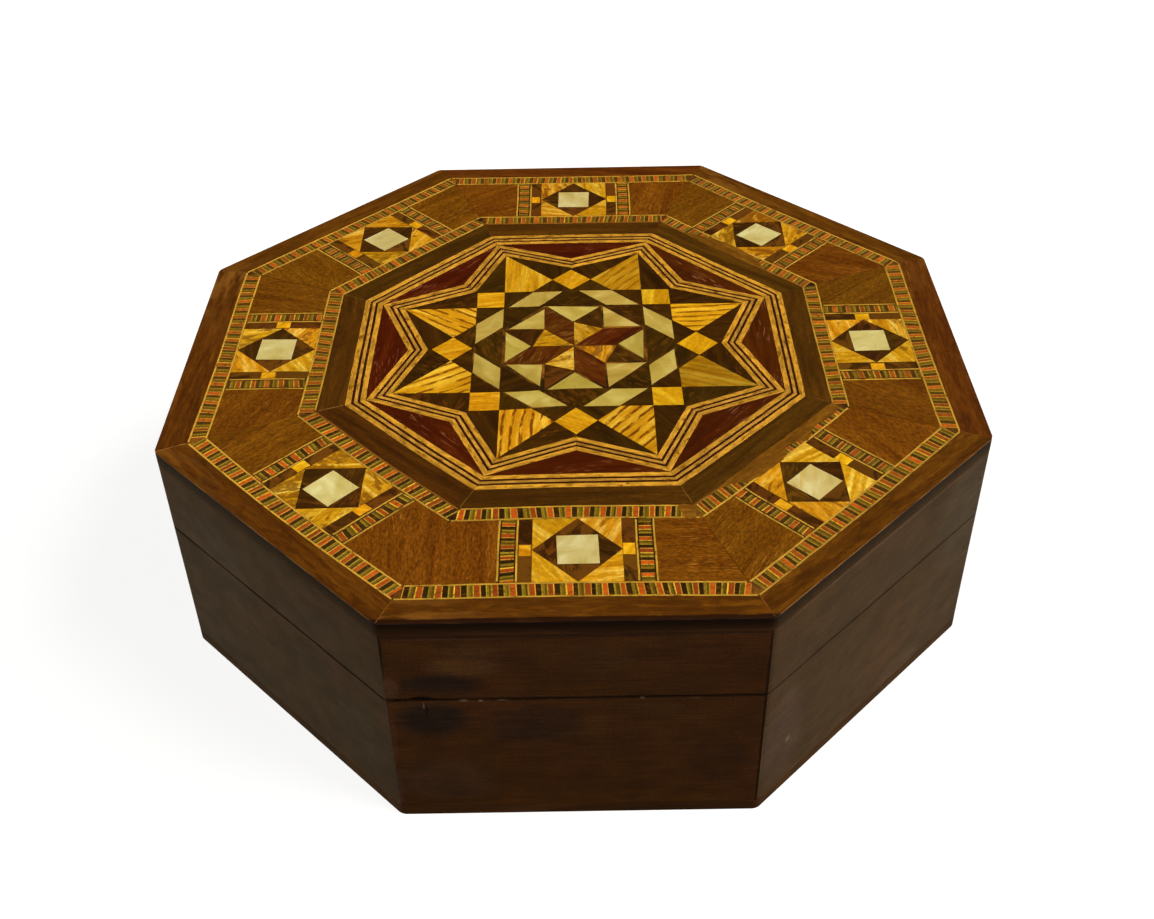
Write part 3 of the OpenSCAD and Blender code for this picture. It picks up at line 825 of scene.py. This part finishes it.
def mosaic_stick(pieces, ribbon, rng, dark_lines, inner_edge, dull):
    """A stick of sawn mosaic: pale lines along both edges and slivers of dyed wood between them."""
    edge_v, dark_v, gap_v = EDGE_WIDTH / STICK_WIDTH, DARK_WIDTH / STICK_WIDTH, GAP / STICK_WIDTH
    for v0, v1, colour in ((0, edge_v, inner_edge), (1 - edge_v, 1, PALE)):
        first, last = ribbon.ends((v0 + v1) / 2)
        back = [rng.uniform(0, 0.5) * MM for _ in range(2)]
        strip(pieces, ribbon, (first + back[0], last - back[1]), (v0, v1), varied(colour, 0.08, rng), rng)
    v_low, v_high = edge_v + gap_v, 1 - edge_v - gap_v
    first, last = ribbon.ends(0.5)
    set_back = (0, 0.1 * MM) if dark_lines else (0.1 * MM, 1.3 * MM)
    first, last = first + rng.uniform(*set_back), last - rng.uniform(*set_back)
    if dark_lines:
        for v0, v1 in ((v_low, v_low + dark_v), (v_high - dark_v, v_high)):
            strip(pieces, ribbon, (first, last), (v0, v1), varied(THIN_DARK, 0.1, rng), rng, drop=0.02 * MM)
        v_low, v_high = v_low + dark_v + gap_v, v_high - dark_v - gap_v
    s = first
    phase = rng.randrange(len(MOSAIC))
    lean = rng.uniform(0, 100)
    while s < last:
        size, colour, spread = MOSAIC[phase % len(MOSAIC)]
        size = size * MM * rng.uniform(0.82, 1.18)
        end = min(s + size, last)
        slant = LEAN * noise.noise(Vector((s / LEAN_WAVE, lean, 0)))
        if end - s > THINNEST:
            strip(pieces, ribbon, (s + GAP / 2, end - GAP / 2), (v_low, v_high),
                  varied(colour, spread, rng, dull), rng, drop=rng.uniform(0, 0.03) * MM, slant=slant)
        s = end
        phase += 1


def build_mosaic():
    slivers = dyed_slivers("mosaic_slivers", (108, 62, 10), 0.8)
    for node in ("outer_mosaic_band", "inner_mosaic_band", "panel_mosaic_strips"):
        pieces = Pieces()
        for _, outline, side, rng in cut(node):
            inner_edge = INNER_EDGES[side] if node == "inner_mosaic_band" else PALE
            mosaic_stick(pieces, Ribbon(outline), rng, node == "panel_mosaic_strips", inner_edge, DULL[side])
        pieces.object(node + "_slivers", "lid", slivers, [node])


# Old repairs: brown filler over part of the inner band. By side, its course anticlockwise along the side in
# millimetres from the middle, with how far across the band it starts and ends
REPAIRS = {
    "front_right": ((-18, 0, 0.1), (-14, -0.04, 0.35), (-11, -0.06, 0.8), (-8, -0.08, 1), (0, -0.1, 1.04),
                    (3, -0.1, 0.9), (5, -0.1, 0.5), (9, -0.08, 0.6), (11, -0.08, 1.0), (13, -0.08, 0.8),
                    (16, -0.06, 0.5), (20, -0.06, 0.62), (23, -0.05, 0.68), (26.5, 0.0, 0.6)),
    "back_right": ((-12, 0.0, 0.2), (-8, -0.06, 0.75), (-3, -0.08, 0.95), (4, -0.1, 1.0), (9, -0.06, 0.8),
                   (14, -0.05, 0.35), (17, 0.0, 0.15)),
    "front": ((23, 0.0, 0.3), (24.6, -0.05, 1.0), (27, 0.0, 1.0)),
}
RAGGED, RAGGED_WAVE, RAGGED_STEP = 0.3 * MM, 1.6 * MM, 0.8 * MM


def build_repairs():
    wood = veneer_wood("repair_filler", (96, 56, 6), (124, 77, 14), (146, 96, 24), 0.3, 0.25,
                       fleck_pitch=(0.4, 1.0))
    pieces = Pieces()
    for _, outline, side, _ in cut("inner_mosaic_band"):
        course = REPAIRS.get(SIDE_NAMES[side])
        if not course:
            continue
        rng = random.Random(f"repair {side}")
        ribbon = Ribbon(outline)
        near, far = ([ribbon.at(point[0] * MM, point[which]) for point in course] for which in (1, 2))
        ragged = []
        for p in subdivided(near + far[::-1], RAGGED_STEP):
            push = noise.noise_vector(Vector((p.x, p.y, 0)) / RAGGED_WAVE).to_2d() * RAGGED
            ragged.append(warp(p + push))
        rings = [at_height(ragged, z) for z in (VENEER_Z + 0.1 * MM, TOP)]
        pieces.skin(rings, grain_from(middle(outline), ribbon.angle, rng), (0.5, 0.5, 0))
    pieces.object("mosaic_repairs", "lid", wood)


# Mitres that have opened and hold pale dust: how far from the middle of the box they start and end, in
# millimetres, and for each crack the side before it, its width and its colour
OPEN_MITRES = (
    (93.4, 99.6, ((3, 0.2, (136, 84, 30)), (2, 0.25, (160, 110, 58)), (4, 0.2, (132, 80, 26)),
                  (1, 0.2, (122, 76, 30)), (5, 0.2, (130, 80, 28)))),
    (68.6, 88.6, ((2, 0.16, (132, 82, 22)), (1, 0.2, (66, 34, 3)), (5, 0.18, (84, 46, 5)),
                  (4, 0.16, (90, 50, 6)))),
    (57.6, 63.5, ((2, 0.3, (160, 112, 50)), (3, 0.2, (130, 88, 36)), (4, 0.2, (122, 82, 32)),
                  (1, 0.2, (122, 82, 32)), (0, 0.2, (120, 80, 30)), (5, 0.2, (112, 74, 28)))),
)


def build_open_mitres():
    """Hairline cracks along mitres, a touch unsteady."""
    pieces = Pieces()
    cracks = [(inner, outer, *crack) for inner, outer, band in OPEN_MITRES for crack in band]
    for index, (inner, outer, side, width, colour) in enumerate(cracks):
        rng = random.Random(f"mitre {index}")
        steps = round(outer - inner)
        line = [inner + (outer - inner) * i / steps for i in range(steps + 1)]
        half = [rng.uniform(0.3, 1.0) * width / 2 for _ in line]
        edges = []
        for way in (-1, 1):
            along = [Vector((way * h, a / math.cos(TURN / 2))) * MM for a, h in zip(line, half)]
            edges.append([warp(turned(p, (side + 0.5) * TURN)) for p in along])
        outline = edges[1] + edges[0][::-1]
        rings = [at_height(outline, z) for z in (TOP - 0.1 * MM, TOP)]
        pieces.skin(rings, grain_from(outline[0], 0, rng), varied(colour, 0.1, rng))
    pieces.object("open_mitres", "lid", dyed_slivers("mitre_dust", (90, 54, 14), 0.8))


# The striped line, from one edge to the other: share of the width and colour
LINE_YELLOW, LINE_RED, LINE_TAN = (207, 147, 44), (56, 22, 2), (196, 140, 52)
STRIPES = ((0.275, LINE_YELLOW), (0.13, LINE_RED), (0.175, LINE_TAN), (0.13, LINE_RED), (0.29, LINE_YELLOW))
STRIPE_GAP = 0.004  # between a stripe's edge and its glue line, as a share of the width


def build_lines():
    striped = dyed_slivers("striped_line", (108, 60, 4), 0.85, blotch=(0.66, 1.16), blotch_pitch=(0.3, 0.9))
    for node in ("octagon_line", "star_line"):
        pieces = Pieces()
        for _, outline, _, rng in cut(node):
            ribbon = Ribbon(outline)
            v = 0
            for share, colour in STRIPES:
                ends = [ribbon.ends(v), ribbon.ends(v + share)]
                whole = (max(ends[0][0], ends[1][0]), min(ends[0][1], ends[1][1]))
                strip(pieces, ribbon, whole, (v + STRIPE_GAP, v + share - STRIPE_GAP),
                      varied(colour, 0.07, rng), rng, drop=rng.uniform(0, 0.02) * MM, tips=ends)
                v += share
        pieces.object(node + "_strips", "lid", striped, [node])


def build_filler():
    """One thin sheet of glue and filler that fills the gaps nearly to the surface."""
    pieces = Pieces()
    radius = (APOTHEM - 2 * MM) / math.cos(TURN / 2)
    corners = [turned(Vector((0, radius)), (k + 0.5) * TURN) for k in range(SIDES)]
    outline = subdivided(corners, 20 * MM)
    pieces.skin([at_height(outline, z) for z in (VENEER_Z, TOP - 0.1 * MM)])
    pieces.object("veneer_filler", "lid", filler("brown_filler"))


# ---- Case: side boards with eased edges ----
OUTER_EASE, SEAM_EASE = 0.05 * MM, 0.12 * MM
MITRE_GAP = 0.02 * MM
OUTSIDE = 4 * MM  # how deep the outer face's wear goes into a board
WEAR_WAVE = 9 * MM
ROUNDED, SOFTLY_ROUNDED = math.radians(35), math.radians(60)
QUARTER = [math.radians(a) for a in (0, 30, 60, 90)]
# Bruises of the edges at the seam: place along the side, half length and depth, in millimetres
SEAM_CHIPS = {
    "front": ((-34, 3.2, 0.7), (-30, 2.0, 0.35), (-38.5, 1.5, 0.3), (12, 1.5, 0.2)),
    "front_right": ((-20, 3, 0.15), (25, 2, 0.15)),
}


def side_board(node, side, material, body, bottom_ease, top_ease, chips):
    """A side board whose long edges are rounded over, with bruises along the seam."""
    low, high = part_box(node)[0].z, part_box(node)[1].z
    fine = subdivided(inset(outlines(node)[0], MITRE_GAP), 1.0 * MM)

    def eased(p, amount, seed):
        wear = 0.5 + 0.5 * noise.noise(Vector((p.x, p.y, seed)) / WEAR_WAVE)
        local = to_side(p, side)
        outside = local.y > APOTHEM - OUTSIDE
        chip = sum(depth * MM * max(0, 1 - ((-local.x / MM - x) / half) ** 2) for x, half, depth in chips)
        bruised = outside and amount == SEAM_EASE
        return amount * (0.6 + 0.8 * wear) * (1 if outside else 0.3) + (chip if bruised else 0)

    bottom = [eased(p, bottom_ease, 3.0) for p in fine]
    top = [eased(p, top_ease, 9.0) for p in fine]
    rings = []
    for z, way, eases, angles in ((low, 1, bottom, QUARTER), (high, -1, top, QUARTER[::-1])):
        for angle in angles:
            into, rise = 1 - math.sin(angle), 1 - math.cos(angle)
            ring = inset(fine, [e * into for e in eases])
            rings.append([Vector((p.x, p.y, z + way * e * rise)) for p, e in zip(ring, eases)])
    pieces = Pieces()
    pieces.skin(rings)
    return pieces.object(node + "_board", body, material, [node], ROUNDED)


def dress(node, material, width, segments=2):
    """A CAD node that is kept: its mesh stays as it is, under modifiers that ease its edges by width."""
    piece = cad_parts[node]
    for place in piece.material_slots:
        place.material = material
    weld = piece.modifiers.new("weld", "WELD")
    weld.merge_threshold = WELD
    bevel = piece.modifiers.new("edges", "BEVEL")
    bevel.width = width
    bevel.segments = segments
    bevel.limit_method = "ANGLE"
    bevel.angle_limit = math.radians(30)


def build_case():
    boards = flat_board("flat_boards")
    for node in ("base_floor", "lid_board"):
        dress(node, boards, SEAM_EASE)
    for side, name in enumerate(SIDE_NAMES):
        marks = SIDE_MARKS.get(name, ())
        if name == "front":
            # the front's band of dirt and painted shade at the seam reaches further
            walnut = case_walnut("walnut_front", side, marks, dirt_and_shade_reach=0.62, gloss=CASE_GLOSS / 2)
        else:
            walnut = case_walnut("walnut_" + name, side, marks)
        if name in ("back", "back_left", "back_right"):
            for part in ("base_wall_", "lid_wall_"):
                dress(part + name, walnut, SEAM_EASE)
            continue
        chips = SEAM_CHIPS.get(name, ())
        side_board("base_wall_" + name, side, walnut, "base", OUTER_EASE, SEAM_EASE, chips)
        side_board("lid_wall_" + name, side, walnut, "lid", SEAM_EASE, OUTER_EASE, chips)


# ---- Linings ----
VELVET_STEP = 2 * MM  # longest straight stretch of an outline of velvet
PANEL_MARGIN = 0.8 * MM  # how far the back of a panel lies inside its front
ROLL = 1.1 * MM  # roll of a panel's edge
PANEL_ROWS, PANEL_ROW = 26, 3.2 * MM
CARD_ROLL = 0.55 * MM
CARD_ROWS = 9
CARD_GAP = 0.03 * MM


def velvet_panel(node, name, body, upwards, material):
    """A padded panel: crowned, rolled over at its edge, and a little uneven."""
    low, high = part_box(node)
    z0, z1 = (low.z, high.z) if upwards else (high.z, low.z)
    outline = outlines(node)[0]
    centre = middle(outline)
    reach = apothem_of(outline[0].lerp(outline[1], 0.5))

    def shrunk(share):
        return [centre.lerp(p, share) for p in subdivided(outline, VELVET_STEP)]

    rings = [at_height(shrunk(1 - PANEL_MARGIN / reach), z0)]
    shares = [(1 - ROLL * (1 - math.cos(math.radians(a))) / reach, math.sin(math.radians(a)))
              for a in (10, 30, 50, 70, 85)]
    shares += [(1 - (ROLL + i * PANEL_ROW) / reach, 1) for i in range(1, PANEL_ROWS + 1)]
    for share, rise in shares:
        ring = []
        for p in shrunk(share):
            uneven = noise.noise(Vector((p.x, p.y, z0)) / (22 * MM)) * 0.12 + 0.08 * share ** 6
            ring.append(Vector((p.x, p.y, z0 + (z1 - z0) * min(1, rise * (0.92 - uneven)))))
        rings.append(ring)
    if not upwards:
        rings = [ring[::-1] for ring in rings]
    pieces = Pieces()
    pieces.skin(rings)
    made = pieces.object(name, body, material, [node], SOFTLY_ROUNDED)


def velvet_cards(node, name, body, material):
    """Cards covered in velvet, one a side, with soft edges."""
    low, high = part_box(node)
    pieces = Pieces()
    edge = [(low.z + CARD_ROLL * (1 - math.cos(a)), CARD_ROLL * (1 - math.sin(a))) for a in QUARTER]
    span = high.z - low.z - 2 * CARD_ROLL
    heights = edge + [(low.z + CARD_ROLL + span * i / CARD_ROWS, 0) for i in range(1, CARD_ROWS)]
    heights += [(high.z - (z - low.z), into) for z, into in reversed(edge)]
    for outline in outlines(node):
        fine = subdivided(inset(outline, CARD_GAP), VELVET_STEP)
        pieces.skin([at_height(inset(fine, into), z) for z, into in heights])
    made = pieces.object(name, body, material, [node], SOFTLY_ROUNDED)


def build_linings():
    red_velvet = velvet("red_velvet")
    velvet_panel("base_floor_pad", "base_floor_velvet", "base", True, red_velvet)
    velvet_panel("lid_panel_pad", "lid_panel_velvet", "lid", False, red_velvet)
    velvet_cards("base_wall_cards", "base_wall_velvet", "base", red_velvet)
    velvet_cards("lid_wall_cards", "lid_wall_velvet", "lid", red_velvet)


def build_hinges():
    brass = aged_brass("aged_brass", (196, 150, 74), (112, 78, 34))
    screws = aged_brass("screw_brass", (206, 164, 92), (120, 88, 42))
    for node in ("hinge_base_leaves", "hinge_lid_leaves", "hinge_pins"):
        dress(node, brass, 0.06 * MM)
    for node in ("hinge_base_screws", "hinge_lid_screws"):
        dress(node, screws, 0.04 * MM, 1)


# ---- Floor, light and camera ----
FLOOR_REACH, DOME_RADIUS = 6.0, 5.4
FLOOR_GLOW, DOME_GLOW = 0.8, 1.1
# The pale walls at both sides: place from left, 0, to right, 1, and brightness
WALLS = ((0.08, 0.36), (0.32, 0.02), (0.68, 0.02), (0.92, 0.46))
WALL_BLUE = 0.72  # the walls are warm: this much blue against red and green
SUNLIGHT = (1, 0.98, 0.92)
WINDOW_SPREAD = 50  # degrees
SENSOR, LENS = 36, 44.19  # millimetres
CAMERA_TURN = (-51.138, -0.148, 0.962)
CAMERA_PLACE = Vector((1.7, -306.3, 271.9)) * MM


def stage_piece(name, mesh, material):
    mesh.materials.append(material)
    made = linked(name, mesh)
    made.visible_glossy = False
    return made


def build_stage():
    """A white floor, and a white dome that gives the pictures their background and lights nothing."""
    floor = bpy.data.meshes.new("floor")
    corners = [(x * FLOOR_REACH, y * FLOOR_REACH, 0) for x, y in ((-1, -1), (1, -1), (1, 1), (-1, 1))]
    floor.from_pydata(corners, [], [(0, 1, 2, 3)])
    stage_piece("floor", floor, white_sweep("white_floor", FLOOR_GLOW))
    dome = bpy.data.meshes.new("dome")
    shape = bmesh.new()
    bmesh.ops.create_icosphere(shape, subdivisions=4, radius=DOME_RADIUS)
    shape.to_mesh(dome)
    shape.free()
    backdrop = stage_piece("dome", dome, white_sweep("white_backdrop", DOME_GLOW))
    backdrop.visible_diffuse = False
    backdrop.visible_shadow = False
    backdrop.visible_transmission = False


def window(name, towards, strength):
    """A big soft source: strength is what a face turned to it receives, against 1 for paper white."""
    data = bpy.data.lights.new(name, "SUN")
    data.color = SUNLIGHT
    data.energy = strength * math.pi
    data.angle = math.radians(WINDOW_SPREAD)
    linked(name, data).rotation_euler = Vector(towards).to_track_quat("Z", "Y").to_euler()


def build_light():
    """A dark studio with a pale wall and a soft window at each side. No glare reaches the front or top."""
    world = bpy.data.worlds.new("studio")
    world.use_nodes = True
    s = Nodes(world.node_tree)
    across = s.split(s.node("TexCoord")["Generated"])[0]
    place = s.node("MapRange", {"Value": across, "From Min": -1})[0]
    walls = [(where, (level, level, level * WALL_BLUE, 1)) for where, level in WALLS]
    background = world.node_tree.nodes["Background"]
    s.put(background.inputs["Color"], s.ramp(place, *walls, convert=tuple))
    bpy.context.scene.world = world
    window("right_window", (0.8, -0.05, 0.6), 1.06)
    window("left_window", (-0.65, -0.1, 0.75), 0.4)


def build_camera():
    """The camera of the picture: above the front edge, looking a little over half way down."""
    data = bpy.data.cameras.new("camera")
    data.sensor_width = SENSOR
    data.lens = LENS
    camera = linked("camera", data)
    turn = Euler([math.radians(a) for a in CAMERA_TURN], "XYZ").to_matrix().transposed()
    camera.matrix_world = Matrix.Translation(CAMERA_PLACE) @ turn.to_4x4()
    bpy.context.scene.camera = camera


bpy.context.scene.view_settings.view_transform = "Standard"
build_camera()
build_light()
build_stage()
build_case()
build_hinges()
build_linings()
build_filler()
build_veneers()
build_mosaic()
build_repairs()
build_open_mitres()
build_lines()
